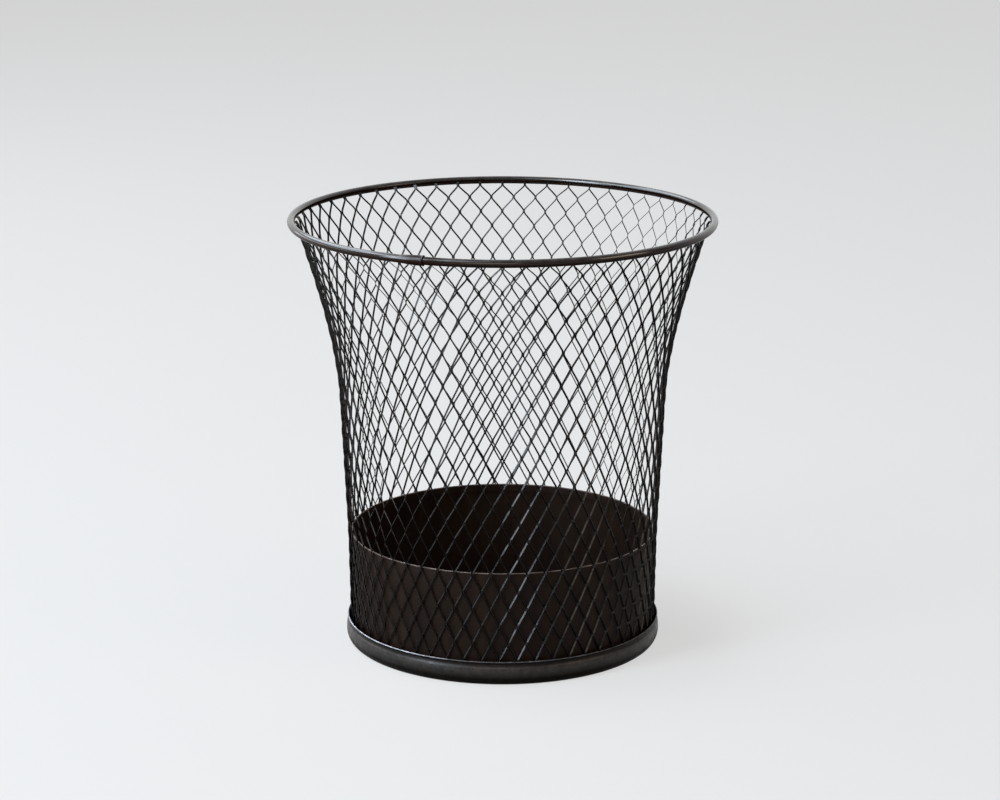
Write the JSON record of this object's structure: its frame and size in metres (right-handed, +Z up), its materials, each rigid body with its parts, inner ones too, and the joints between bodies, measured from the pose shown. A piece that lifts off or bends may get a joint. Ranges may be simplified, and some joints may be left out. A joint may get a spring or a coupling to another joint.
{
  "type": "wastebasket",
  "caption": "Round flared wastebasket of black expanded-metal mesh with a rolled rim, a solid sheet liner round the bottom and a beaded foot ring.",
  "frame": {"origin": "on the floor, under the middle of the basket", "axes": "+Z up along the basket's axis; -Y is the side that faces the camera; the rim's joint is on that side, towards -X"},
  "size_m": [0.3214, 0.3224, 0.3306],
  "materials": {
    "mesh_enamel": "satin black enamel on expanded steel",
    "rim_enamel": "satin dark grey-brown enamel, slightly rubbed",
    "foot_enamel": "satin charcoal enamel, slightly rubbed",
    "liner_enamel": "satin brown-black enamel",
    "floor_enamel": "satin black enamel"
  },
  "bodies": {
    "root": {"mesh_wall": "mesh_enamel", "rim_tube": "rim_enamel", "foot_ring": "foot_enamel", "liner_band": "liner_enamel", "floor_pan": "floor_enamel"}
  },
  "joints": []
}
